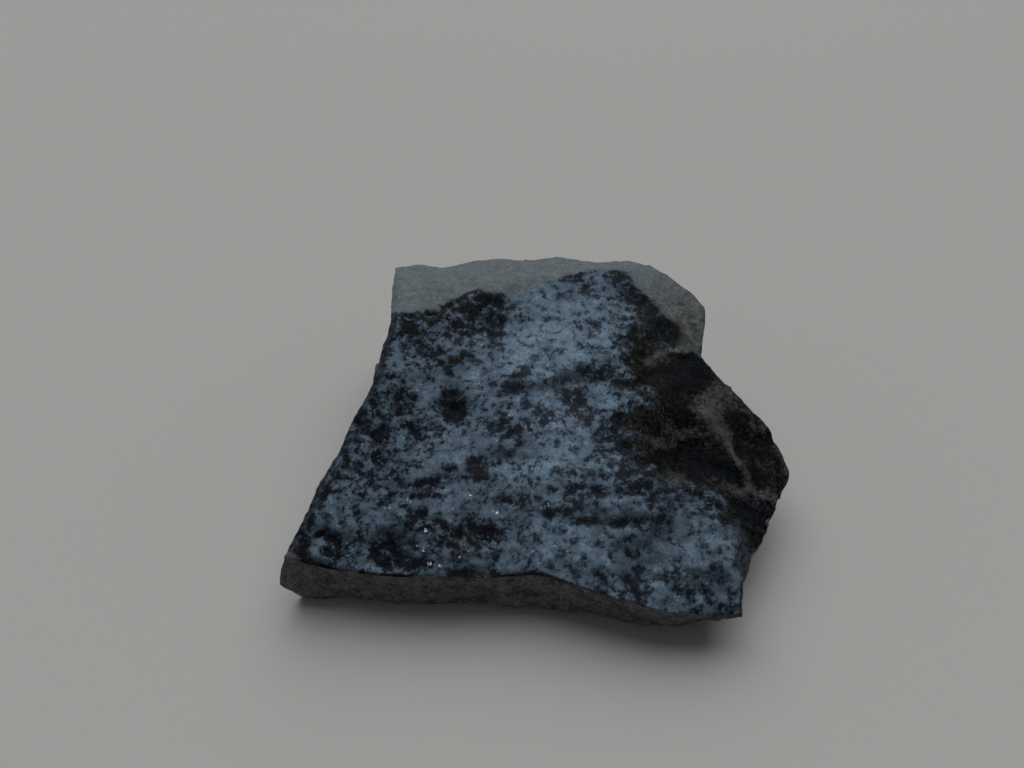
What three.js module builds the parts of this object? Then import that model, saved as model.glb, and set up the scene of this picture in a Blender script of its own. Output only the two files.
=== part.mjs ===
// A raw piece of hematite, about 48 mm wide: one broken stone, thin at the front and thick at the
// back. On top lies a sloping cleavage face. Its right third folds down, and a broken shoulder
// borders it at the back. Sizes are in millimetres, +Z is up and the thin edge points to -Y.
import * as THREE from 'three';
import { ImprovedNoise } from 'three/addons/math/ImprovedNoise.js';
import { mergeVertices } from 'three/addons/utils/BufferGeometryUtils.js';

// The cleavage face is a plane that climbs from the front edge to the back.
const FACE_FRONT_Y = -18;
const FACE_FRONT_HEIGHT = 5.5;
const FACE_SLOPE = 0.27;

// On the right of a line across the stone the face folds down, over a soft crease.
const FOLD_BACK = new THREE.Vector2(10, 16);
const FOLD_FRONT = new THREE.Vector2(20, -16);
const FOLD_SLOPE = 0.3;
const FOLD_SOFTNESS = 1.2;

// The stone's edge, clockwise from its front left corner, as one row for each break point:
// [rim x, y, z, brink x, y, foot inset]. The rim is the widest line of the stone, the brink is
// where the cleavage face ends inside it, and the foot stands on the ground inside the rim.
const FRONT_LEFT = [-20.8, -16.9, 3.0, -20.0, -16.2, 1.8];
const BACK_LEFT = [-13.4, 20.6, 12.3, -11.8, 10.9, 2.2];
const BACK_RIGHT = [20.6, 16.2, 11.2, 15.6, 12.2, 2.4];
const FRONT_RIGHT = [19.4, -20.7, 3.6, 18.8, -20.4, 3.2];
const LEFT_EDGE = [
  FRONT_LEFT,
  [-19.9, -15.0, 5.8, -19.0, -15.0, 1.6],
  [-19.0, -12.6, 6.4, -18.0, -12.9, 1.2],
  [-17.9, -8.8, 7.4, -16.9, -9.0, 0.6],
  [-16.5, -5.4, 8.3, -15.4, -5.6, 0.4],
  [-15.4, -1.4, 9.4, -14.3, -1.6, 0.8],
  [-14.5, 0.6, 9.9, -13.4, 0.2, 1.2],
  [-13.9, 2.2, 10.4, -13.0, 2.0, 1.0],
  [-13.5, 6.0, 11.4, -12.6, 5.6, 0.2],
  [-12.8, 9.5, 12.2, -11.9, 9.0, -0.4],
  [-12.9, 10.8, 12.6, -12.2, 10.3, -0.2],
  [-13.3, 15.5, 12.6, -12.0, 10.6, 0.8],
  BACK_LEFT,
];
const BACK_EDGE = [
  BACK_LEFT,
  [-10.5, 21.2, 12.4, -10.0, 10.8, 1.6],
  [-7.8, 20.7, 12.2, -7.8, 11.5, 0.6],
  [-4.4, 21.8, 12.5, -5.4, 12.9, 0.8],
  [-1.7, 22.0, 12.7, -2.6, 13.8, 1.4],
  [2.0, 21.5, 12.7, 1.0, 14.6, 1.8],
  [5.3, 22.0, 12.9, 3.8, 15.8, 2.6],
  [9.8, 21.0, 12.7, 8.0, 16.5, 2.0],
  [13.5, 21.5, 12.7, 10.5, 17.0, 2.6],
  [15.5, 21.1, 12.5, 12.6, 16.6, 3.0],
  [17.8, 19.4, 12.0, 13.8, 14.8, 2.6],
  BACK_RIGHT,
];
const RIGHT_EDGE = [
  BACK_RIGHT,
  [21.3, 14.5, 11.0, 16.2, 11.2, 2.2],
  [21.2, 12.5, 10.8, 17.0, 9.8, 1.6],
  [20.1, 8.7, 10.4, 17.8, 7.8, 0.8],
  [19.9, 7.2, 9.8, 18.4, 6.3, 1.0],
  [21.5, 5.5, 8.5, 19.0, 4.4, 2.4],
  [23.1, 3.5, 8.0, 20.2, 1.9, 3.2],
  [24.6, 1.2, 7.5, 21.4, -0.2, 3.6],
  [25.9, -1.2, 6.9, 22.8, -2.2, 4.2],
  [26.4, -3.6, 6.4, 23.6, -3.8, 4.4],
  [27.1, -5.7, 5.5, 24.4, -5.8, 4.8],
  [26.0, -7.3, 5.3, 24.0, -7.6, 4.0],
  [24.4, -10.4, 4.8, 22.8, -10.2, 3.2],
  [22.7, -13.5, 4.5, 21.2, -13.0, 2.6],
  [21.5, -14.8, 4.5, 20.2, -14.6, 2.4],
  [20.6, -17.2, 4.3, 19.4, -17.0, 2.4],
  [19.9, -19.6, 4.0, 18.9, -19.2, 2.8],
  FRONT_RIGHT,
];
const FRONT_EDGE = [
  FRONT_RIGHT,
  [17.9, -20.3, 3.0, 17.4, -21.0, 3.0],
  [15.6, -20.4, 2.0, 15.0, -21.4, 2.6],
  [13.7, -20.3, 1.4, 12.2, -21.0, 2.2],
  [11.9, -19.9, 1.0, 10.6, -20.6, 1.8],
  [9.3, -19.2, 1.0, 8.6, -20.0, 1.6],
  [4.9, -18.4, 1.0, 6.0, -19.2, 1.4],
  [2.5, -18.0, 1.0, 2.6, -17.8, 1.4],
  [-3.2, -17.5, 1.0, -3.0, -18.0, 1.6],
  [-9.0, -17.4, 1.0, -8.4, -18.1, 1.8],
  [-14.7, -17.2, 1.5, -14.0, -17.5, 1.6],
  [-19.4, -17.0, 2.0, -18.4, -16.8, 1.4],
  FRONT_LEFT,
];
const CENTRE = new THREE.Vector2(3, 0);

// How far the shoulder swells between brink and rim, as shares of its width.
const SHOULDER_BULGE = 0.03;
const SHOULDER_WAVES = 0.1;

// Low steps on the cleavage face, from one end to the other. The ground behind each is higher.
const LEDGES = [
  { from: [2, -12.2], to: [14, -13.2], height: 0.5 },
  { from: [3.5, -9.4], to: [13, -10.2], height: 0.35 },
  { from: [-9, -9.8], to: [0, -5.6], height: 0.35 },
  { from: [-12, 1.0], to: [-3, 4.6], height: 0.3 },
  { from: [0, 0.8], to: [10, 3.4], height: 0.3 },
];
const LEDGE_REACH = 5;
const LEDGE_SOFTNESS = 0.6;

// Bowls that flakes have left in the cleavage face, as [x, y, radius, depth].
const BOWLS = [
  [16.6, -5.3, 4.4, 1.6],
  [24.0, -2.6, 4.6, 1.1],
  [23.4, -9.4, 4.2, 1.0],
  [15.4, 6.4, 4.6, 1.0],
  [19.0, 2.6, 3.4, 0.7],
  [12.0, 11.6, 3.2, 0.5],
  [-5.8, -0.8, 1.9, 0.8],
  [6.8, 1.0, 3.0, 0.4],
  [-2.4, 9.8, 3.4, 0.5],
  [-10.5, -15.8, 2.6, 0.5],
  [10.8, -17.4, 2.2, 0.5],
];

// Bites that flakes have left in the walls, as balls [x, y, z, radius] taken out of the stone.
const BITES = [
  [-7.0, 30.3, 3.0, 11.0],
  [2.5, 31.8, 9.0, 12.0],
  [-1.5, 23.5, 1.5, 4.0],
  [11.0, 27.2, 3.5, 9.0],
  [22.6, 23.2, 8.7, 8.0],
  [28.3, 12.5, 4.0, 9.0],
  [29.4, 4.4, 0.5, 9.0],
  [28.4, -12.6, 0.4, 8.0],
  [-25.4, -9.8, 6.0, 9.0],
  [-25.5, 1.7, 2.0, 12.0],
  [-17.6, 5.3, 1.4, 4.0],
  [-25.7, 13.0, 4.0, 14.0],
];

// A wall this high is rough all the way, and a lower one less so.
const FULL_ROUGH_HEIGHT = 8;

// The underside is level around the middle of the stone, out to the first of these distances from
// it, and hollow in places beyond the second.
const LEVEL_RADIUS = [5, 9];
const HOLLOW_DEPTH = 1.3;

// The mesh starts as a box with this many steps along each side, of which the outer ones are the
// shoulder, and this many from the rim down to the foot.
const SIDE_STEPS = 40;
const SHOULDER_STEPS = 4;
const WALL_STEPS = 9;
const BRINK_RING = 1 - (2 * SHOULDER_STEPS) / SIDE_STEPS;

const HEMATITE = new THREE.MeshStandardMaterial({ color: 0x3a444d, roughness: 0.45, metalness: 0.6 });

const perlin = new ImprovedNoise();

function noise(point, wavelength, shift) {
  return perlin.noise(point.x / wavelength + shift, point.y / wavelength + shift, point.z / wavelength);
}

function smoothStep(from, to, value) {
  return THREE.MathUtils.smoothstep(value, from, to);
}

// How far a point in plan lies to the right of the fold line.
function rightOfFold(x, y) {
  const along = FOLD_FRONT.clone().sub(FOLD_BACK).normalize();
  return (x - FOLD_BACK.x) * -along.y + (y - FOLD_BACK.y) * along.x;
}

function ledgeHeight(x, y) {
  let height = 0;
  for (const ledge of LEDGES) {
    const from = new THREE.Vector2(...ledge.from);
    const along = new THREE.Vector2(...ledge.to).sub(from);
    const length = along.length();
    along.divideScalar(length);
    const distance = (x - from.x) * along.x + (y - from.y) * along.y;
    const behind = (y - from.y) * along.x - (x - from.x) * along.y;
    const inside = smoothStep(-2, 1, distance) * smoothStep(-2, 1, length - distance);
    const step = smoothStep(-LEDGE_SOFTNESS, LEDGE_SOFTNESS, behind);
    height += ledge.height * inside * step * smoothStep(-LEDGE_REACH, 0, -behind);
  }
  return height;
}

function bowlDepth(x, y) {
  const depths = BOWLS.map(([bowlX, bowlY, radius, depth]) => {
    const share = Math.hypot(x - bowlX, y - bowlY) / radius;
    return depth * (1 - share * share);
  });
  return Math.max(0, ...depths);
}

function faceHeight(x, y) {
  const plane = FACE_FRONT_HEIGHT + FACE_SLOPE * (y - FACE_FRONT_Y);
  const fold = FOLD_SOFTNESS * Math.log(1 + Math.exp(rightOfFold(x, y) / FOLD_SOFTNESS));
  const waves = 0.4 * perlin.noise(x / 8, y / 8, 0.5) + 0.2 * perlin.noise(x / 3.5, y / 3.5, 7.5);
  return plane - FOLD_SLOPE * fold + waves + ledgeHeight(x, y) - bowlDepth(x, y);
}

// The underside never rises above half the height of the rim next to it.
function undersideHeight(spot, edge) {
  const outside = smoothStep(...LEVEL_RADIUS, spot.distanceTo(CENTRE));
  const hollow = HOLLOW_DEPTH * outside * perlin.noise(spot.x / 8 + 4, spot.y / 8 + 4, 2.5);
  return THREE.MathUtils.clamp(hollow, 0, edge.rimHeight / 2);
}

// The stone's edge at a share of the way along one of its sides.
function edgeAlong(rows, share) {
  const lengths = rows.slice(1).map((row, i) => Math.hypot(row[0] - rows[i][0], row[1] - rows[i][1]));
  let left = share * lengths.reduce((sum, length) => sum + length, 0);
  let i = 0;
  while (i < lengths.length - 1 && left > lengths[i]) {
    left -= lengths[i];
    i += 1;
  }
  const between = Math.min(1, left / lengths[i]);
  const [x, y, z, brinkX, brinkY, inset] = rows[i].map((value, k) =>
    THREE.MathUtils.lerp(value, rows[i + 1][k], between));
  const rim = new THREE.Vector2(x, y);
  const inward = CENTRE.clone().sub(rim).normalize();
  const foot = rim.clone().addScaledVector(inward, inset);
  return { rim, rimHeight: z, brink: new THREE.Vector2(brinkX, brinkY), foot };
}

// The edge where a ray from the middle of the box's top, in steps from -1 to 1, meets its outline.
function edgeTowards(u, v) {
  const reach = Math.max(Math.abs(u), Math.abs(v)) || 1;
  const [a, b] = [u / reach, v / reach];
  if (a <= -1) return edgeAlong(LEFT_EDGE, (b + 1) / 2);
  if (b >= 1) return edgeAlong(BACK_EDGE, (a + 1) / 2);
  if (a >= 1) return edgeAlong(RIGHT_EDGE, (1 - b) / 2);
  return edgeAlong(FRONT_EDGE, (1 - a) / 2);
}

function onTop(ring, edge) {
  if (ring <= BRINK_RING) {
    const spot = CENTRE.clone().lerp(edge.brink, ring / BRINK_RING);
    return new THREE.Vector3(spot.x, spot.y, faceHeight(spot.x, spot.y));
  }
  const share = (ring - BRINK_RING) / (1 - BRINK_RING);
  const spot = edge.brink.clone().lerp(edge.rim, share);
  const height = THREE.MathUtils.lerp(faceHeight(edge.brink.x, edge.brink.y), edge.rimHeight, share);
  const bulge = SHOULDER_BULGE + SHOULDER_WAVES * perlin.noise(spot.x / 4, spot.y / 4, 3.5);
  const width = edge.brink.distanceTo(edge.rim);
  return new THREE.Vector3(spot.x, spot.y, height + bulge * width * 4 * share * (1 - share));
}

function onWall(down, edge) {
  const spot = edge.rim.clone().lerp(edge.foot, down ** 1.5);
  const height = THREE.MathUtils.lerp(edge.rimHeight, undersideHeight(edge.foot, edge), down);
  return new THREE.Vector3(spot.x, spot.y, height);
}

function onUnderside(ring, edge) {
  const spot = CENTRE.clone().lerp(edge.foot, ring);
  return new THREE.Vector3(spot.x, spot.y, undersideHeight(spot, edge));
}

// Moves a point that lies in a bite towards the skin of its ball, all the way for a share of 1.
function bite(point, share) {
  for (const [x, y, z, radius] of BITES) {
    const away = point.clone().sub(new THREE.Vector3(x, y, z));
    const inside = Math.max(0, radius - away.length());
    point.addScaledVector(away.normalize(), inside * share);
  }
}

// Where a point of the box goes on the stone. Its coordinates u, v and w run from -1 to 1.
function onStone(u, v, w) {
  const ring = Math.max(Math.abs(u), Math.abs(v));
  const edge = edgeTowards(u, v);
  if (w === 1) return onTop(ring, edge);
  if (w === -1) return onUnderside(ring, edge);
  return onWall((1 - w) / 2, edge);
}

// How rough the wall is at a point of the box: not at all along the rim and the foot, and less
// where the wall is low.
function wallRoughness(u, v, w) {
  const down = (1 - w) / 2;
  return Math.sin(Math.PI * down) * Math.min(1, edgeTowards(u, v).rimHeight / FULL_ROUGH_HEIGHT);
}

// Wall relief at a point: creases that run in from the surface, with two finer grains over them.
function wallRelief(point) {
  const creases = -Math.abs(noise(point, 6, 0));
  return 0.3 + 2 * creases + 0.6 * noise(point, 3.5, 5) + 0.3 * noise(point, 1.9, 9);
}

function stoneGeometry() {
  const box = new THREE.BoxGeometry(2, 2, 2, SIDE_STEPS, SIDE_STEPS, WALL_STEPS);
  box.deleteAttribute('normal');
  box.deleteAttribute('uv');
  const skin = mergeVertices(box, 1e-4);
  const points = skin.getAttribute('position');
  const roughness = [];
  const point = new THREE.Vector3();
  for (let i = 0; i < points.count; i += 1) {
    const [u, v, w] = point.fromBufferAttribute(points, i).toArray().map((x) => Number(x.toFixed(6)));
    const shaped = onStone(u, v, w);
    bite(shaped, Math.min(1, 2 * (1 - Math.abs(w))));
    points.setXYZ(i, ...shaped);
    roughness.push(wallRoughness(u, v, w));
  }
  skin.computeVertexNormals();
  const normals = skin.getAttribute('normal');
  const outward = new THREE.Vector3();
  for (let i = 0; i < points.count; i += 1) {
    point.fromBufferAttribute(points, i);
    outward.fromBufferAttribute(normals, i);
    point.addScaledVector(outward, roughness[i] * wallRelief(point));
    points.setXYZ(i, point.x, point.y, Math.max(0, point.z));
  }
  skin.deleteAttribute('normal');
  return skin;
}

function stone() {
  const mesh = new THREE.Mesh(stoneGeometry(), HEMATITE);
  mesh.name = 'hematite_stone';
  return mesh;
}

// The origin is under the middle of the stone, on the ground.
function specimen() {
  const group = new THREE.Group();
  const mesh = stone();
  mesh.geometry.computeBoundingBox();
  const middle = mesh.geometry.boundingBox.getCenter(new THREE.Vector3());
  mesh.position.set(-middle.x, -middle.y, 0);
  group.add(mesh);
  return group;
}

export default specimen();
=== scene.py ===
"""Dresses the solid of a raw hematite stone as broken, speckled ore, and sets a plain studio."""

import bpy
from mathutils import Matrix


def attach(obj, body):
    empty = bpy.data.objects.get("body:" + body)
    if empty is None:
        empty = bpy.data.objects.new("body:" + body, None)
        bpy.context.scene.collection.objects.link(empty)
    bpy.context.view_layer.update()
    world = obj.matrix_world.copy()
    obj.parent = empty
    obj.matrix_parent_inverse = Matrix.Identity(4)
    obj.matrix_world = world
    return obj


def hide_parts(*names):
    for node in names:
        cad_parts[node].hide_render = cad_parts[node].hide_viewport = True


bl_info = {
    "name": "Raw Hematite Stone",
    "version": (1, 0, 0),
    "blender": (4, 5, 0),
    "location": "View3D > Sidebar > Hematite",
    "description": "Builds the surface and finish of a raw hematite stone over its solid",
    "category": "Object",
}

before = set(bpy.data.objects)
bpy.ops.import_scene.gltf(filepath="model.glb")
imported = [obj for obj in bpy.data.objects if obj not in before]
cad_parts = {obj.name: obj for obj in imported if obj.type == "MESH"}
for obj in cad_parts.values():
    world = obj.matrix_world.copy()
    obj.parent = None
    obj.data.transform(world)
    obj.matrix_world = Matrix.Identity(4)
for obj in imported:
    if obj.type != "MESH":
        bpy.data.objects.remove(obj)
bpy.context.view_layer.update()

from math import radians

import bmesh
import bpy
import numpy as np
from bpy.props import FloatProperty, FloatVectorProperty, IntProperty, PointerProperty
from mathutils import Vector, noise

NODE = "hematite_stone"
BODY = "root"
MM = 0.001

# Sizes and places here are in millimetres. A place with two coordinates is seen from above.


def on_solid(*place):
    """The solid's point nearest to a place."""
    points = [vert.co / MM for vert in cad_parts[NODE].data.vertices]
    return tuple(min(points, key=lambda point: (point - Vector(place)).length))


# The cleavage face, clockwise from its front left corner.
CLEAVAGE_OUTLINE = [
    (-21.0, -17.3), (-22.6, -15.6), (-24.5, -14.2), (-22.5, -9.2), (-21.0, -5.8), (-19.9, -1.8),
    (-19.0, 0.2), (-18.5, 2.0), (-18.1, 5.6), (-17.7, 10.2), (-13.4, 10.5), (-11.0, 10.4),
    (-10.0, 11.7), (-8.4, 12.3), (-7.0, 13.5), (-6.0, 13.1), (-5.0, 12.7), (-4.2, 12.9), (-3.6, 11.8),
    (-2.4, 12.2), (-0.6, 13.4), (1.0, 14.6), (3.0, 15.6), (4.7, 15.7), (6.0, 16.3), (8.0, 16.4),
    (9.8, 17.0), (10.3, 14.8), (11.8, 13.3), (13.1, 11.8), (14.3, 10.4), (14.6, 9.2), (13.8, 8.0),
    (14.8, 7.3), (16.9, 6.8), (26.0, 2.0), (26.0, -14.0), (20.4, -16.2), (19.4, -18.0), (18.6, -20.0),
    (18.0, -23.0), (12.0, -23.0), (9.1, -21.9), (7.5, -21.4), (5.5, -20.8), (2.9, -20.0),
    (-0.5, -18.7), (-6.1, -18.7), (-11.5, -18.7), (-17.1, -18.0),
]

# The dull right-hand facet, where the cleavage is torn, clockwise from its back left. Its near-black
# colour is partly painted shade, as of a facet turned away from the light.
TORN_OUTLINE = [
    (8.7, 7.6), (10.9, 8.0), (12.6, 7.9), (13.6, 7.5), (14.6, 8.2), (16.6, 7.4), (28.0, 8.0),
    (28.0, -16.4), (19.0, -16.0), (18.4, -14.9), (16.9, -13.1), (16.2, -11.6), (14.8, -10.3),
    (12.4, -9.6), (10.4, -8.8), (9.2, -7.2), (7.9, -5.6), (8.6, -3.0), (10.0, -1.6), (10.0, 0.4),
    (8.2, 1.4), (8.6, 2.6), (8.2, 5.2),
]

# Dark marks on the cleavage face, each from one end to the other: (x, y, x, y, radius, strength).
DARK_MARKS = [
    (-13.8, 9.3, -13.5, 8.8, 1.3, 0.7), (-11.8, 9.9, -11.0, 9.6, 0.9, 0.7),
    (-13.5, 7.2, -12.0, 6.6, 0.9, 0.7), (-12.9, 5.2, -12.4, 5.2, 0.8, 0.6),
    (-10.7, 5.2, -10.5, 5.0, 0.7, 0.6), (-9.0, 11.4, -7.4, 11.2, 1.4, 0.6),
    (-6.8, 12.6, -6.3, 11.6, 1.2, 0.6), (-4.8, 12.2, -4.5, 11.0, 0.9, 0.8),
    (-5.7, 9.6, -5.1, 8.9, 1.1, 1.1), (-8.8, 8.7, -8.4, 8.2, 0.8, 0.7),
    (-7.9, 6.8, -7.2, 6.0, 1.3, 0.5), (-4.8, 7.2, -4.6, 6.6, 0.9, 0.5),
    (-7.7, 4.7, -7.3, 4.5, 0.6, 0.7), (-8.8, 4.0, -8.5, 4.0, 0.6, 0.7),
    (-9.9, 3.4, -9.6, 2.8, 0.7, 0.8), (-3.2, 0.7, -1.6, 2.7, 0.55, 1.5),
    (-3.4, 0.6, -2.6, 0.4, 0.65, 1.3), (0.3, 5.2, 0.5, 5.0, 0.4, 0.7), (1.9, 5.0, 2.1, 4.9, 0.4, 0.5),
    (5.5, 7.5, 5.7, 8.6, 0.5, 0.8), (6.1, 9.2, 6.4, 9.5, 0.4, 0.7), (4.7, 13.2, 4.9, 14.0, 0.6, 0.9),
    (2.2, 15.1, 4.3, 15.3, 0.4, 0.7), (3.4, 12.9, 3.4, 13.4, 0.35, 0.6),
    (4.6, 14.8, 4.7, 16.2, 0.4, 0.6), (8.4, 15.9, 9.4, 16.0, 0.9, 0.9),
    (8.8, 14.6, 9.4, 13.2, 0.9, 0.8), (10.6, 12.9, 12.0, 12.4, 0.8, 1.0),
    (10.6, 11.3, 11.6, 10.8, 0.9, 0.7), (12.2, 10.9, 13.2, 10.0, 1.0, 0.9),
    (13.8, 9.8, 14.4, 9.2, 0.9, 1.0), (9.2, 8.1, 11.6, 8.9, 0.9, 0.9), (8.6, 6.9, 9.0, 6.0, 0.9, 0.8),
    (3.8, 3.4, 4.3, 3.0, 0.7, 0.8), (5.0, 2.7, 5.6, 2.5, 0.7, 0.7), (6.4, 3.3, 6.9, 3.1, 0.6, 0.7),
    (2.5, 0.6, 3.0, 0.2, 0.7, 1.4), (2.9, -0.8, 3.5, -1.4, 1.1, 0.9), (7.3, 1.7, 9.7, 0.9, 0.6, 0.7),
    (-9.1, 0.0, -8.8, -2.0, 0.95, 2.2), (-14.0, -0.3, -13.2, -0.8, 0.9, 0.7),
    (-12.7, -3.4, -12.1, -3.9, 0.9, 0.6), (-16.1, -4.4, -15.7, -4.9, 0.6, 0.7),
    (-15.6, -6.4, -15.6, -7.2, 0.5, 0.6), (-17.6, -2.4, -17.4, -3.2, 0.6, 0.6),
    (-16.8, -0.6, -16.2, -1.2, 0.7, 0.6), (-6.6, -7.4, -6.2, -8.0, 0.7, 1.3),
    (-6.4, -8.8, -5.4, -8.7, 0.8, 0.8), (-9.9, -9.4, -8.5, -8.2, 0.4, 0.9),
    (-11.8, -9.5, -10.5, -9.6, 0.4, 0.7), (-11.6, -10.8, -10.9, -11.0, 0.6, 0.8),
    (-3.2, -11.2, -2.0, -11.2, 0.8, 0.7), (0.2, -12.6, 1.6, -12.8, 0.45, 1.0),
    (1.9, -10.5, 5.2, -10.8, 0.6, 0.9), (2.4, -11.9, 3.4, -12.0, 0.7, 0.7),
    (7.2, -10.5, 8.2, -10.5, 0.6, 0.8), (9.4, -10.6, 9.7, -11.4, 0.5, 0.7),
    # These two thin marks along a low ledge are painted shade of its step, over a shallow groove that
    # the pits carve.
    (3.0, -13.4, 6.4, -13.6, 0.32, 1.1), (6.4, -13.6, 11.0, -13.3, 0.28, 1.0),
    (4.6, -9.3, 8.4, -8.8, 0.4, 0.6), (-0.9, -1.9, 0.3, -2.6, 0.8, 1.2),
    (-4.4, -3.8, -2.7, -4.2, 0.9, 1.0), (-12.0, -12.8, -10.0, -13.7, 0.7, 0.7),
    (-8.4, -14.9, -6.6, -14.4, 1.1, 0.8), (-5.0, -14.4, -4.5, -14.0, 0.7, 0.7),
    (-15.0, -15.6, -14.0, -14.9, 0.6, 0.7), (-13.9, -15.2, -13.1, -16.2, 0.6, 0.8),
    (-14.8, -16.9, -13.6, -17.2, 0.8, 0.6), (-12.8, -16.6, -11.4, -17.4, 0.6, 0.8),
    (-8.6, -18.0, -4.6, -17.9, 0.4, 0.8), (-0.9, -15.4, -0.7, -15.0, 0.35, 0.8),
    (7.5, -17.4, 8.1, -17.2, 0.5, 1.1), (7.3, -18.8, 7.9, -19.8, 0.7, 1.0),
    (7.0, -15.4, 7.4, -16.4, 0.5, 0.7), (10.4, -18.2, 11.8, -17.8, 0.6, 0.7),
    (11.0, -19.2, 11.8, -19.3, 0.5, 0.8), (12.8, -19.4, 13.3, -19.5, 0.5, 0.8),
    (14.3, -17.4, 14.9, -17.4, 0.4, 0.6), (15.6, -12.7, 16.6, -12.7, 0.4, 1.6),
    (6.6, -4.2, 7.6, -5.1, 1.1, 1.0), (7.4, -2.6, 9.6, -3.0, 1.0, 1.0),
    (12.8, 14.2, 16.6, 8.8, 2.6, 0.35), (10.4, -3.4, 11.4, -9.0, 1.5, 0.45),
    (8.6, -3.2, 7.6, -4.8, 1.6, 0.3), (9.4, -10.8, 14.6, -10.4, 0.8, 0.35),
    (-21.6, -15.2, -20.4, -11.0, 0.35, 0.7), (-20.4, -11.0, -18.6, -6.8, 0.4, 0.7),
    (-21.9, -14.4, -21.4, -16.2, 0.4, 0.8), (-21.0, -16.9, -19.0, -17.3, 0.25, 0.8),
    # At the nodule, the two marks under zero clear the speckles in a crescent on its left and front:
    # a painted highlight of its dome.
    (-19.3, -15.9, -18.9, -15.4, 0.6, 1.1), (-20.6, -15.0, -20.5, -16.3, 0.4, -1.6),
    (-20.4, -16.5, -19.0, -16.9, 0.25, -0.8), (0.2, 1.3, 1.2, 1.7, 0.35, 0.7),
    (2.0, 2.1, 2.6, 2.3, 0.35, 0.6), (-9.5, 9.4, -5.5, 8.8, 1.8, 0.25),
    (10.3, 9.8, 13.0, 9.6, 1.3, 0.8), (12.0, 8.5, 13.8, 8.4, 0.8, 1.3),
    (8.2, -7.0, 9.8, -9.6, 1.0, 0.7), (3.4, -2.2, 5.0, -4.4, 0.6, 1.0),
    (5.8, -6.2, 7.2, -8.4, 0.8, 0.6), (1.0, -8.6, 3.6, -8.8, 0.6, 0.6),
    (3.6, 5.9, 5.6, 5.4, 0.5, 0.6), (4.2, -18.3, 4.6, -19.0, 0.5, 0.8),
    (14.0, -10.6, 15.2, -11.4, 0.8, 0.6), (6.8, -13.8, 7.8, -13.2, 0.35, 0.5),
    (-12.0, -1.5, -6.6, 4.6, 1.3, -0.4), (-11.0, -8.6, -6.2, -6.2, 0.9, -0.4),
    (-8.5, -12.2, -5.5, -11.6, 0.8, -0.3),
]

# Places on the cleavage face with fewer speckles and a brighter sheen, or a duller sheen where the
# strength is under zero, as (x, y, radius, strength). The broad ones are painted sheen: they make the
# sheen brighter or dimmer by area, standing in for a brighter or dimmer reflection.
BRIGHT_MARKS = [
    (5.0, 9.5, 6.5, 0.6), (-1.0, 4.0, 6.0, 0.5), (3.0, -4.5, 5.5, 0.55), (2.0, -15.0, 5.0, 0.5),
    (12.0, -15.5, 4.5, 0.5), (-8.0, -7.0, 5.0, 0.3), (-0.6, 6.6, 3.2, 0.2), (-7.0, 1.6, 1.8, 0.3),
    (6.6, 0.0, 2.0, 0.4), (6.6, -7.4, 1.0, 0.4), (15.4, -14.6, 1.8, 0.3), (-18.7, -6.7, 0.8, 0.3),
    (0.4, -7.8, 1.8, 0.3), (6.0, -18.6, 1.0, 0.3), (-4.4, -12.6, 0.9, 0.4), (-3.2, -9.4, 1.4, 0.3),
    (-17.0, -4.0, 6.0, -0.35), (7.4, -1.6, 3.2, -0.35),
]

# Pale scars of the torn facet, and its dark hollows where the strength is under zero, as
# (x, y, x, y, radius, strength).
SCARS = [
    (11.0, 4.6, 12.6, 6.5, 0.6, 1.0), (16.6, 0.8, 19.6, 3.6, 1.5, 0.8),
    (15.0, -0.6, 17.0, -0.2, 0.9, 0.5), (16.6, -1.6, 17.8, -2.8, 1.0, 1.0),
    (18.0, -3.4, 18.2, -5.6, 0.35, 0.9), (18.6, -6.3, 19.5, -7.2, 0.55, 1.0),
    (20.4, 0.4, 21.4, 1.0, 0.6, 0.4), (21.0, -1.2, 21.8, -1.4, 0.6, 0.6),
    (22.9, -3.2, 23.6, -5.8, 0.35, 0.8), (12.4, -3.2, 15.0, -3.6, 0.7, 0.7),
    (10.6, -4.9, 12.2, -4.6, 0.7, 0.5), (17.0, -8.8, 18.6, -9.2, 0.5, 0.5),
    (19.4, -8.4, 21.4, -9.0, 0.8, 0.7), (13.2, 7.2, 15.0, 7.2, 0.5, 0.5),
    (10.2, -10.0, 12.6, -8.8, 0.7, 0.6), (15.3, 5.6, 16.3, 4.7, 1.0, -0.9),
    (12.2, 4.0, 15.2, 3.0, 1.2, -0.7), (9.4, 4.2, 9.6, 2.4, 0.9, -0.6),
    (14.5, -4.4, 13.6, -6.0, 0.9, -1.2), (14.6, -5.7, 17.4, -6.6, 0.9, -1.2),
    (17.2, -7.0, 18.0, -7.6, 0.6, -0.8), (14.0, -7.6, 14.4, -8.8, 0.7, -0.6),
    (17.6, -10.6, 18.8, -11.2, 0.6, -0.8), (19.0, -1.0, 20.2, -0.4, 0.5, -0.8),
    (19.3, -2.8, 19.0, -4.6, 0.5, -0.8), (19.9, -6.4, 20.6, -8.0, 0.5, -0.6),
    (10.8, -7.0, 12.4, -6.0, 0.6, -0.8), (12.4, 0.6, 13.6, -1.4, 1.4, -0.4),
    (13.6, 6.6, 15.6, 6.4, 0.5, -0.6), (21.0, -4.0, 22.4, -2.6, 0.8, -0.5),
]

# Glassy points that catch the light, painted bright as glints: painted highlights.
GLINTS = [
    (-8.7, -13.4), (-10.8, -14.2), (-10.7, -16.0), (-10.3, -17.2), (-7.7, -16.4), (-6.9, -10.6),
    (-4.6, -12.3), (-0.4, -12.1), (0.2, -12.0), (-9.3, -17.2), (-12.4, -11.4), (15.0, 1.6),
    (-16.1, -13.0), (-5.3, -11.2), (-11.3, -15.4), (-3.4, -11.9),
]

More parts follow.
